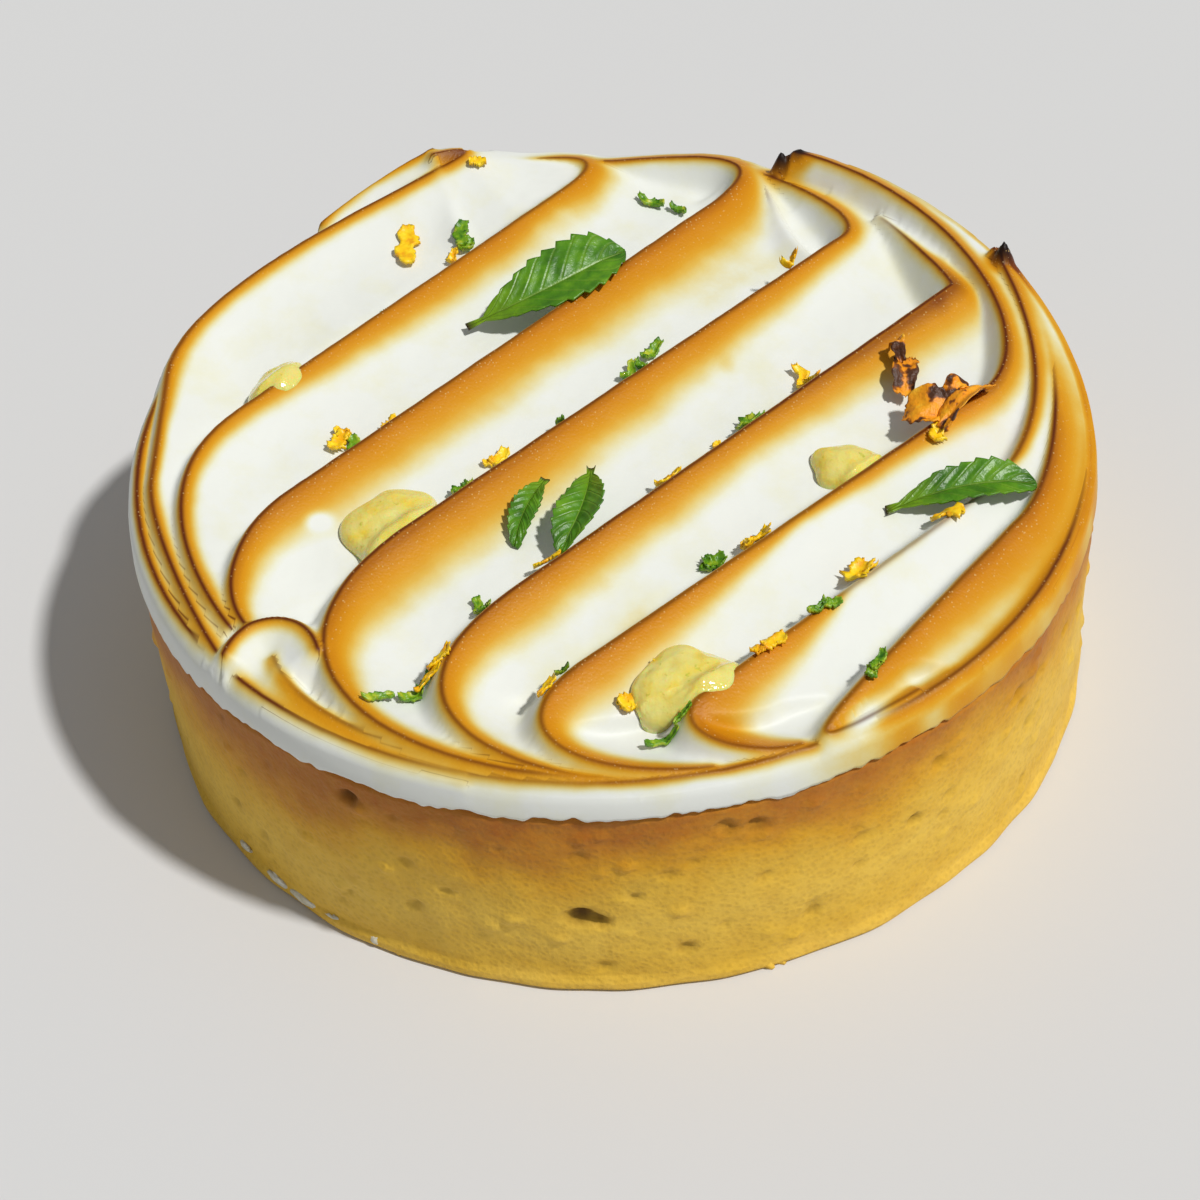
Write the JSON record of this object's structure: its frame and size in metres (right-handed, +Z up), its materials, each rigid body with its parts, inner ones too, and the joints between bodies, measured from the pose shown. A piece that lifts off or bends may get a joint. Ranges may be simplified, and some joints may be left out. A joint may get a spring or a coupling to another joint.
{
  "type": "lemon meringue tart",
  "caption": "Round individual tart: a straight-sided pastry case filled level, topped with ridged, toasted meringue, drops of lemon gel, mint leaves and dried petals.",
  "frame": {"origin": "centre of the flat base, on the surface it rests on", "axes": "+Z up; -Y towards the viewer; the meringue's strokes run from -X -Y to +X +Y"},
  "size_m": [0.08, 0.08, 0.0288],
  "materials": {
    "baked_pastry": "matt, baked",
    "toasted_meringue": "satin, toasted at the crests",
    "lemon_gel": "glossy, clear yellow",
    "mint_leaf": "satin",
    "dried_petal": "matt"
  },
  "bodies": {
    "root": {"pastry_case": "baked_pastry", "meringue": "toasted_meringue", "lemon_gel_1": "lemon_gel", "lemon_gel_2": "lemon_gel", "lemon_gel_3": "lemon_gel", "lemon_gel_4": "lemon_gel", "lemon_gel_5": "lemon_gel", "mint_leaf_1": "mint_leaf", "mint_leaf_2": "mint_leaf", "mint_leaf_3": "mint_leaf", "mint_leaf_4": "mint_leaf", "dried_petal_1": "dried_petal", "dried_petal_2": "dried_petal"}
  },
  "joints": []
}
